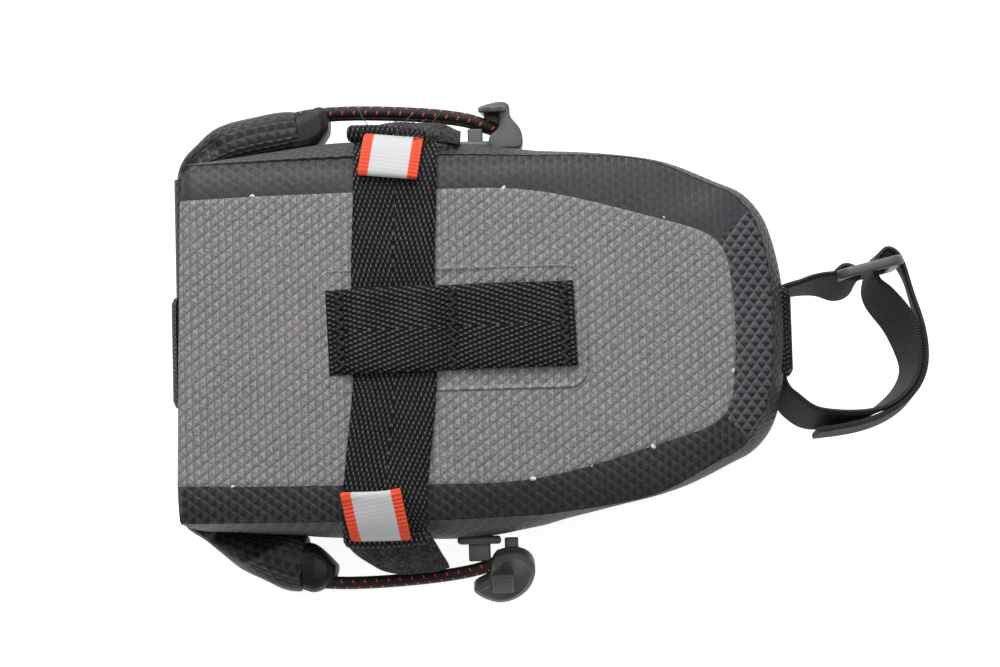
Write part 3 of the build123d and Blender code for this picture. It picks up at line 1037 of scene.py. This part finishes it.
rollEnd = {
    "left": {
        "outer": [
            (-88.4, 45.0), (-89.3, 52.0), (-86.6, 58.2), (-82.8, 62.0),
            (-77.6, 66.4), (-66.0, 69.6), (-56.4, 70.9), (-51.6, 70.4),
        ],
        "inner": [
            (-81.4, 45.0), (-80.4, 50.0), (-79.2, 52.6), (-76.4, 54.0),
            (-70.0, 55.2), (-61.0, 56.6), (-54.0, 58.0), (-50.6, 59.6),
        ],
        "centre": [29.0, 29.0, 29.2, 29.6, 30.0, 30.4, 31.0, 31.4],
        "half": [11.6, 12.9, 12.9, 12.8, 12.8, 12.6, 12.2, 11.2],
    },
    "right": {
        "outer": [
            (-88.4, -44.6), (-89.2, -50.6), (-86.4, -53.8), (-81.6, -57.4),
            (-75.0, -63.0), (-66.8, -67.8), (-58.6, -71.6), (-53.4, -71.8),
        ],
        "inner": [
            (-81.4, -44.6), (-80.2, -49.0), (-78.6, -51.0), (-75.0, -52.2),
            (-68.0, -53.0), (-61.0, -53.6), (-55.0, -54.2), (-51.8, -56.4),
        ],
        "centre": [29.0, 29.0, 29.0, 28.6, 28.4, 28.8, 29.6, 30.4],
        "half": [11.6, 12.9, 12.9, 12.8, 12.6, 12.6, 12.4, 11.4],
    },
}
satinTab = {
    "left": {
        "outer": [(-54.0, 69.2), (-50.6, 70.0), (-46.4, 71.6), (-43.4, 70.4)],
        "inner": [(-54.0, 57.4), (-51.0, 57.8), (-46.2, 60.4), (-43.2, 64.4)],
        "centre": [33.0, 33.6, 34.4, 34.8],
        "half": [9.0, 8.6, 7.8, 6.6],
    },
    "right": {
        "outer": [(-54.0, -71.4), (-50.6, -72.0), (-47.4, -70.8), (-44.2, -68.0)],
        "inner": [(-54.0, -57.6), (-51.0, -57.8), (-47.2, -60.6), (-43.4, -64.6)],
        "centre": [33.0, 33.6, 34.4, 34.8],
        "half": [8.8, 8.6, 7.8, 6.6],
    },
}


def loftPiece(name, shape, count, around, power, fold=None):
    # a body lofted between an outer and an inner plan line, closed with a soft end
    outer, inner = splineThrough(shape["outer"], count), splineThrough(shape["inner"], count)
    station = np.linspace(0, 1, count)
    known = np.linspace(0, 1, len(shape["half"]))
    half = np.interp(station, known, shape["half"])
    centre = np.interp(station, known, shape["centre"])
    closing = np.sqrt(np.clip((1 - station) / 0.04, 0.12, 1))
    turn = np.linspace(0, 2 * math.pi, around + 1)
    x, y = squircle(power)(turn)
    middle, across = (outer + inner) / 2, (outer - inner) / 2 * closing[:, None] ** 0.5
    plan = middle[:, None, :] + across[:, None, :] * x[None, :, None]
    tall = centre[:, None] + (half * closing**0.5)[:, None] * y[None, :]
    spots = np.concatenate([plan, tall[:, :, None]], axis=2)
    if fold:
        spots[:, :, 2] += foldHeight(spots, fold) * np.clip(y[None, :] * 2, 0, 1)
    uneven = roughness(spots, 9.0, 0.7, 6.0) * np.clip(station * 4, 0, 1)[:, None]
    spots[:, :-1] += uneven[:, :-1, None] * 0.6
    spots[:, -1] = spots[:, 0]
    length = lengthsAlong(middle[:, None, :], 0)
    uv = np.stack(np.broadcast_arrays(turn[None, :] / (2 * math.pi), length), axis=2)
    first, last = (spots[k, :-1].mean(axis=0)[None, None] for k in (0, -1))
    first, last = (np.repeat(cap, around + 1, axis=1) for cap in (first, last))
    return closedGrid(name, first, spots, last, uv)


def distanceTo(spots, start, end):
    # distance in plan from a straight stretch
    start, end = np.array(start), np.array(end)
    along = end - start
    share = np.clip(((spots[:, :, :2] - start) @ along) / (along @ along), 0, 1)
    return np.linalg.norm(spots[:, :, :2] - start - share[:, :, None] * along, axis=2)


# folds across the top of each roll end: both ends of the fold, its height and its width
folds = {
    "left": [((-78.0, 60.0), (-88.0, 52.0), -1.6, 2.2)],
    "right": [
        ((-72.0, -63.4), (-59.4, -58.0), 1.5, 1.3),
        ((-84.0, -52.0), (-66.0, -55.0), -5.0, 3.2),
        ((-66.0, -66.0), (-55.0, -70.0), -0.9, 1.8),
    ],
}


def foldHeight(spots, name):
    return sum(
        height * hump(distanceTo(spots, *ends), 0, width) for *ends, height, width in folds[name]
    )


def makeRollEnds():
    for name, side in sides.items():
        piece = loftPiece(f"rollEnd_{name}", rollEnd[name], 130, 80, 0.62, name)
        finishPiece(piece, rollCloth, None, f"collar_end_{name}")
        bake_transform(piece)
        tab = loftPiece(f"satinTab_{name}", satinTab[name], 40, 36, 0.5)
        finishPiece(tab, satin, f"end_{name}", f"end_tongue_{name}")


makeRearPanel()
makeRoll()
makeRollEnds()
print("roll closure made")


elasticCord = {
    "radius": 1.85,
    "high": 38.2,
    "low": 33.8,
    "stops": [(-53.0, 68.4), (-45.0, 70.4), (-6.0, 68.2), (6.5, 63.4)],
}


def cordRoute(side):
    # out along the top and back below, doubled at the hook
    stops = elasticCord["stops"]
    out = [(*stop, elasticCord["high"]) for stop in stops]
    back = [(*stop, elasticCord["low"]) for stop in reversed(stops)]
    return [(x, side * y, z) for x, y, z in out + back]


def nurbsLine(points):
    data = bpy.data.curves.new("cordLine", "CURVE")
    data.dimensions = "3D"
    data.resolution_u = 24
    spline = data.splines.new("NURBS")
    spline.points.add(len(points) - 1)
    for spot, point in zip(spline.points, points):
        spot.co = (*[value * millimetre for value in point], 1.0)
    spline.order_u = 3
    spline.use_endpoint_u = True
    holder = bpy.data.objects.new("cordLine", data)
    mesh = bpy.data.meshes.new_from_object(holder)
    line = np.array([vertex.co for vertex in mesh.vertices]) / millimetre
    bpy.data.meshes.remove(mesh)
    bpy.data.objects.remove(holder)
    bpy.data.curves.remove(data)
    return line


def makeCords():
    for name, side in sides.items():
        line = nurbsLine(cordRoute(side))
        length = np.linalg.norm(np.diff(line, axis=0), axis=1).sum()
        line = evenly(line, 260)
        cord = tubePiece(f"elasticCord_{name}", line, elasticCord["radius"], 20, side=(0, side, 0.001))
        finishPiece(cord, elastic, f"hook_{name}", f"elastic_cord_{name}")
        print("cord", name, round(float(length), 1), "mm")


hook = {
    "left": {
        "outline": [
            (1.0, 3.0), (2.8, 6.8), (5.6, 8.0), (8.2, 7.0), (9.6, 4.0),
            (9.8, -2.0), (8.6, -6.2), (5.6, -8.0), (2.6, -7.0), (1.2, -3.4),
        ],
        "at": (69.0, 36.0),
        "thickness": 1.4,
        "rim": ((0.7, 0.25), (0.5, -0.25)),
        "lean": 8.0,
    },
    "right": {
        "outline": [
            (3.0, 8.0), (7.8, 9.3), (12.0, 7.6), (13.8, 4.7), (14.1, 1.6), (12.8, -3.0),
            (10.4, -6.4), (7.3, -8.6), (4.0, -9.4), (0.9, -8.7), (-2.7, -6.4), (-4.0, -4.2),
            (-2.4, -2.2), (0.8, 0.4), (1.4, 4.6),
        ],
        "at": (-67.4, 36.0),
        "thickness": 3.2,
        "rim": ((1.5, 0.75), (1.1, -0.7)),
        "lean": 50.0,
    },
}


def outlineBlock(name, line, place, rise):
    # a filled outline, laid out by place and extruded by rise millimetres
    bpy.ops.object.select_all(action="DESELECT")
    bpy.ops.mesh.primitive_circle_add(vertices=len(line), radius=0.01, fill_type="NGON")
    piece = bpy.context.object
    piece.name = piece.data.name = name
    turn = 2 * math.pi / len(line)
    for vertex in piece.data.vertices:
        angle = math.atan2(vertex.co.y, vertex.co.x) % (2 * math.pi)
        vertex.co = [value * millimetre for value in place(*line[int(round(angle / turn)) % len(line)])]
    rise = {"value": [value * millimetre for value in rise]}
    editMesh(piece, lambda: bpy.ops.mesh.extrude_region_move(TRANSFORM_OT_translate=rise))
    editMesh(piece, faceOutwards)
    return piece


def outlinePlate(name, shape, side):
    # a hook's head: an outline with a raised, inset rim on both faces and softened edges
    line = splineThrough([*shape["outline"], shape["outline"][0]], 73)[:-1]
    piece = outlineBlock(name, line, lambda x, z: (x, 0, z), (0, side * shape["thickness"], 0))
    for top in (True, False):
        selectEnds(piece, top)
        for amount, depth in shape["rim"]:
            insetFaces(amount, depth)
        bpy.ops.object.mode_set(mode="OBJECT")
    softenEdges(piece, 0.25)
    return piece


def selectEnds(piece, top):
    # select the flat faces at the upper or the lower end in Y
    selectOnly(piece)
    bpy.ops.object.mode_set(mode="EDIT")
    bpy.ops.mesh.select_mode(type="FACE")
    bpy.ops.mesh.select_all(action="DESELECT")
    bpy.ops.object.mode_set(mode="OBJECT")
    for face in piece.data.polygons:
        face.select = abs(face.normal.y) > 0.9 and (face.center.y > 1e-4) == top
    bpy.ops.object.mode_set(mode="EDIT")


def insetFaces(amount, depth):
    bpy.ops.mesh.inset(thickness=amount * millimetre, depth=depth * millimetre)


def plankPiece(name, points, low, high, bevel, side=1):
    # an outline in plan between two heights; a long one is made smooth
    points = [(x, side * y) for x, y in points]
    if len(points) > 6:
        points = splineThrough([*points, points[0]], 65)[:-1]
    piece = outlineBlock(name, points, lambda x, y: (x, y, low), (0, 0, high - low))
    softenEdges(piece, bevel)
    return piece


def softenEdges(piece, width, segments=3):
    bevel = piece.modifiers.new("edges", "BEVEL")
    bevel.width = width * millimetre
    bevel.segments = segments
    bevel.limit_method = "ANGLE"
    bevel.angle_limit = math.radians(40)
    applyModifiers(piece)


def moulding(name, low, high, bevel, side=1):
    # a moulded block between two corners with rounded edges
    size = [abs(b - a) * millimetre for a, b in zip(low, high)]
    middle = [(a + b) / 2 * millimetre for a, b in zip(low, high)]
    bpy.ops.object.select_all(action="DESELECT")
    bpy.ops.mesh.primitive_cube_add(size=1, location=(middle[0], side * middle[1], middle[2]))
    piece = bpy.context.object
    piece.name = piece.data.name = name
    piece.scale = size
    bpy.ops.object.transform_apply(location=True, rotation=True, scale=True)
    softenEdges(piece, bevel, 4)
    return piece


hookArm = {
    "left": [
        (1.4, 70.0), (5.0, 71.0), (8.8, 71.2), (10.3, 69.8), (10.5, 67.2), (11.8, 65.2),
        (13.4, 63.0), (14.0, 60.6), (13.6, 57.8), (8.6, 57.4), (4.4, 57.8), (4.2, 60.9),
        (6.0, 62.5), (7.1, 64.2), (7.3, 66.4), (6.4, 68.6), (2.4, 68.6),
    ],
    "right": [(5.4, 57.6), (5.4, 64.6), (9.4, 64.6), (9.4, 57.6)],
}
hookBoss = {
    "left": ((-2.3, 58.8, 31.8), (2.2, 63.6, 39.4)),
    "right": ((-5.2, 58.8, 31.8), (1.2, 64.4, 39.4)),
}


def turnHook(piece, name, side):
    # lean a head about the X direction and set it in its place
    shape = hook[name]
    piece.rotation_euler = (math.radians(shape["lean"]) * side, 0, 0)
    piece.location = (0, shape["at"][0] * millimetre, shape["at"][1] * millimetre)
    selectOnly(piece)
    bpy.ops.object.transform_apply(location=True, rotation=True, scale=True)


def makeHooks():
    for name, side in sides.items():
        plate = moulding(f"anchorPlate_{name}", (-8.4, 57.0, 29.0), (4.4, 59.4, 43.0), 1.0, side)
        finishPiece(plate, plastic, "bag", f"hook_anchor_{name}")
        low, high = hookBoss[name]
        boss = moulding(f"anchorBoss_{name}", low, high, 0.5, side)
        finishPiece(boss, plastic, "bag")
        head = outlinePlate(f"hookHead_{name}", hook[name], side)
        turnHook(head, name, side)
        finishPiece(head, plastic, f"hook_{name}", f"cord_hook_{name}")
        arm = plankPiece(f"hookArm_{name}", hookArm[name], 31.0, 41.0, 0.5, side)
        finishPiece(arm, plastic, f"hook_{name}")
    block = moulding("hookBlock_right", (1.4, -5.4, -4.2), (7.8, -1.0, 2.6), 0.6)
    pin = moulding("hookPin_right", (4.4, -5.9, 1.0), (5.6, -5.0, 2.0), 0.25)
    for piece in (block, pin):
        turnHook(piece, "right", -1)
        finishPiece(piece, plastic, "hook_right")
    pocket = moulding("hookPocket_left", (2.6, 63.4, 31.0), (8.4, 69.4, 35.2), 0.6)
    finishPiece(pocket, plastic, "hook_left")


makeCords()
makeHooks()
print("cords and hooks made")


post = {"z": 40.0, "width": 20.0, "thickness": 1.6}
ring = {"left": (106.0, 16.0), "right": (122.6, 19.8), "height": 27.0, "wire": 3.0}


def makePostStrap():
    front = [(86.6, 55.6), (88.6, 53.6), (90.0, 49.0), (90.4, 40.0), (90.2, 31.0), (88.8, 27.0)]
    front = splineThrough([(x, 0, z) for x, z in [*front, (86.6, 24.8)]], 80)
    keeperStrip = strapPiece("frontKeeper", front, 25.0, 1.5, (0, 1, 0))
    finishPiece(keeperStrip, webbing, "bag", "front_keeper")
    for label, tackZ, tackX in (("upper", 52.2, 89.9), ("lower", 28.0, 89.8)):
        points = [(tackX, -11.0 + 22.0 * i / 40, tackZ + (0.9 if i % 2 else -0.9)) for i in range(41)]
        tack = tubePiece(f"frontTack_{label}", evenly(np.array(points), 200), 0.36, 8)
        finishPiece(tack, thread, "bag", f"front_keeper_tack_{label}")
    base = [(87.4, -13.6), (88.4, -7.0), (88.6, 0), (88.4, 7.0), (87.4, 13.6)]
    base = splineThrough([(x, y, post["z"]) for x, y in base], 60)
    piece = strapPiece("postStrapBase", base, post["width"], post["thickness"], (0, 0, 1))
    finishPiece(piece, strapTape, "bag", "seatpost_strap_base")
    leaningStrap("postStrapLead", postRoute["lead"], 120)
    leaningStrap("postStrapLoop", postRoute["loop"], 230)
    leaningStrap("postStrapTail", postRoute["tail"], 230)


postRoute = {
    "lead": {
        "node": "seatpost_strap_lead",
        "bodies": ("bag", "post_loop"),
        "span": ((0.0895, 0, 0.04), (0.0955, 0, 0.04)),
        "line": [
            (87.6, 12.0, 0, 1.0), (90.6, 12.8, 0.3, 1.6), (93.8, 13.4, 0.5, 2.2),
            (97.0, 14.0, 1.0, 3.4), (101.0, 14.2, 1.0, 4.8), (104.8, 13.6, 2.0, 6.4),
            (108.0, 13.4, 1.5, 5.0), (110.6, 15.2, 0.5, 2.0), (109.6, 18.0, 0, 0),
            (106.6, 18.6, 0, 0), (104.6, 16.4, 0, 0),
        ],
    },
    "loop": {
        "node": "seatpost_strap_loop",
        "bodies": ("bag", "post_loop"),
        "span": ((0.0895, 0, 0.04), (0.0955, 0, 0.04)),
        "line": [
            (87.4, -12.0, 0.5, 2.0), (88.8, -18.4, 1.5, 6.0), (92.4, -22.6, 2.4, 5.6),
            (96.0, -24.8, 2.4, 5.0), (101.4, -25.6, 1.4, 4.2), (107.0, -25.6, 0.2, 3.2),
            (113.0, -24.4, 0.4, 1.2), (118.6, -21.8, 1.2, -0.6), (123.4, -17.6, 2.2, -0.8),
            (126.2, -12.0, 3.2, -0.4), (126.0, -6.0, 5.2, 0.6), (123.6, 1.6, 7.6, 1.6),
            (120.2, 6.6, 7.6, 2.6), (117.2, 10.6, 6.0, 2.4), (115.6, 14.6, 2.0, 1.0),
            (116.0, 18.6, 0, 0), (117.4, 21.6, 0, 0),
        ],
    },
    "tail": {
        "node": "seatpost_strap_tail",
        "bodies": ("post_loop", "post_tail"),
        "span": ((0.1185, 0.0225, 0.04), (0.1235, 0.0225, 0.04)),
        "line": [
            (117.6, 21.6, 0, 0), (119.6, 22.9, -0.4, 0.8), (122.4, 21.9, -1.0, 0.6),
            (124.6, 18.8, -1.8, 0.2), (126.2, 14.4, -2.4, -0.4), (127.8, 8.4, -2.2, -0.6),
            (129.4, 2.4, -1.8, -0.4), (130.4, -5.0, -1.6, 0), (129.9, -11.6, -1.4, 0.4),
            (127.4, -17.4, -1.2, 0.8), (122.6, -22.4, -1.0, 1.6), (116.4, -25.9, -0.6, 1.8),
            (108.6, -28.2, -0.2, 1.6), (97.6, -29.6, 0, 1.2),
        ],
    },
}


def leaningStrap(name, route, count):
    # a strap on edge; each point gives its place and how far its top leans over
    line = splineThrough([(x, y, dx, dy) for x, y, dx, dy in route["line"]], count)
    centre = np.column_stack([line[:, 0], line[:, 1], np.full(count, post["z"])])
    side = np.column_stack([line[:, 2], line[:, 3], np.full(count, post["width"])])
    piece = strapPiece(name, centre, post["width"], post["thickness"], side)
    finishPiece(piece, strapTape, None, route["node"])
    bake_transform(piece)


def makeRing():
    left, right = np.array(ring["left"]), np.array(ring["right"])
    half = np.linalg.norm(right - left) / 2
    middle = (left + right) / 2
    along = (right - left) / (2 * half)
    high = (ring["height"] - ring["wire"]) / 2
    corner = 2.6
    points = []
    for cx, cz, first in ((1, 1, 0), (-1, 1, 90), (-1, -1, 180), (1, -1, 270)):
        for step in range(7):
            angle = math.radians(first + 15 * step)
            across = cx * (half - corner) + corner * math.cos(angle)
            points.append((across, cz * (high - corner) + corner * math.sin(angle)))
    points.append(points[0])
    flat = evenly(np.array(points), 160)
    flat = np.concatenate([flat, flat[1:3]])
    line = np.column_stack([middle + along * flat[:, :1], post["z"] + flat[:, 1]])
    piece = tubePiece("strapRing", line, ring["wire"] / 2, 20, squircle(0.6), (-along[1], along[0], 0))
    finishPiece(piece, shadedRingPlastic, "post_loop", "strap_ring")


makePostStrap()
makeRing()
print("seatpost strap made")


flecks = {
    "at": [
        (-64.2, 41.7), (7.9, 42.0), (53.6, 32.2), (14.0, -41.4),
        (30.8, -38.3), (48.4, -33.2), (-71.4, -41.3), (71.9, -12.2),
    ],
    "size": 0.62,
    "z": 66.2,
    "crumple": 0.2,
}


def makeFlecks():
    parts = []
    for i, (x, y) in enumerate(flecks["at"]):
        bpy.ops.object.select_all(action="DESELECT")
        size = flecks["size"] * (0.7 + 0.3 * math.sin(i * 2.7)) * millimetre
        place = [value * millimetre for value in (x, y, flecks["z"])]
        bpy.ops.mesh.primitive_ico_sphere_add(subdivisions=2, radius=size, location=place)
        part = bpy.context.object
        part.scale = (1.5, 1.0, 0.7)
        part.rotation_euler = (0, 0, i * 1.1)
        parts.append(part)
    piece = joined(parts, "weldFlecks")
    for vertex in piece.data.vertices:
        place = vertex.co * 2500.0
        push = (noise.noise(place), noise.noise(place + Vector((5, 0, 0))), 0)
        vertex.co += Vector(push) * flecks["crumple"] * millimetre
    finishPiece(piece, glue, "bag")


def joined(parts, name):
    bpy.ops.object.select_all(action="DESELECT")
    for part in parts:
        part.select_set(True)
    bpy.context.view_layer.objects.active = parts[0]
    bpy.ops.object.join()
    bpy.ops.object.transform_apply(location=True, rotation=True, scale=True)
    piece = bpy.context.object
    piece.name = piece.data.name = name
    return piece


# the body each tuft rides on, its middle, its spread, how far it reaches and its fibre count
fray = {
    "left": ("rail_left", (-17.5, 57.4, 63.6), (5.4, 2.4, 1.4), 4.4, 46),
    "right": ("rail_right", (-16.8, -55.6, 62.6), (2.4, 1.6, 1.0), 2.2, 16),
    "keeper": ("bag", (12.0, 14.6, 68.6), (12.0, 0.4, 0.3), 1.3, 30),
}


def makeFray():
    # short curled fibres at the cut ends of the webbing
    for name, (body, start, spread, longest, count) in fray.items():
        parts = []
        for i in range(count):
            a, b, c = (math.sin(i * 12.9898 + k * 4.1) * 43758.5453 % 1.0 for k in range(3))
            root = [start[k] + (v - 0.5) * 2 * spread[k] for k, v in enumerate((a, b, c))]
            out = 1.0 if root[1] > 0 else -1.0
            reach = longest * (0.5 + 0.7 * b)
            angle = (c - 0.5) * 2.6
            middle = math.sin(angle) * reach * 0.5, out * reach * 0.45, 0.7 + 0.5 * a
            tip = math.sin(angle * 1.6) * reach, out * reach * math.cos(angle), 0.4 - a
            middle, tip = ([r + step for r, step in zip(root, move)] for move in (middle, tip))
            parts.append(tubePiece(f"fibre{i}", splineThrough([root, middle, tip], 9), 0.1, 5))
        piece = joined(parts, f"fray_{name}")
        finishPiece(piece, fibre, body)
    loose = [(-29.6, 60.2, 63.4), (-32.0, 63.6, 64.6), (-33.4, 66.4, 64.0), (-35.0, 67.4, 62.6)]
    loose = tubePiece("looseThread_left", splineThrough(loose, 30), 0.16, 6)
    finishPiece(loose, fibre, "rail_left", slot="thread")


glue = sewingThread("weldGlue", (0.55, 0.55, 0.54), (0.86, 0.86, 0.84))
fibre = sewingThread("frayedFibre", (0.03, 0.03, 0.03), (0.16, 0.155, 0.15))
makeFlecks()
makeFray()
print("flecks and fray made")
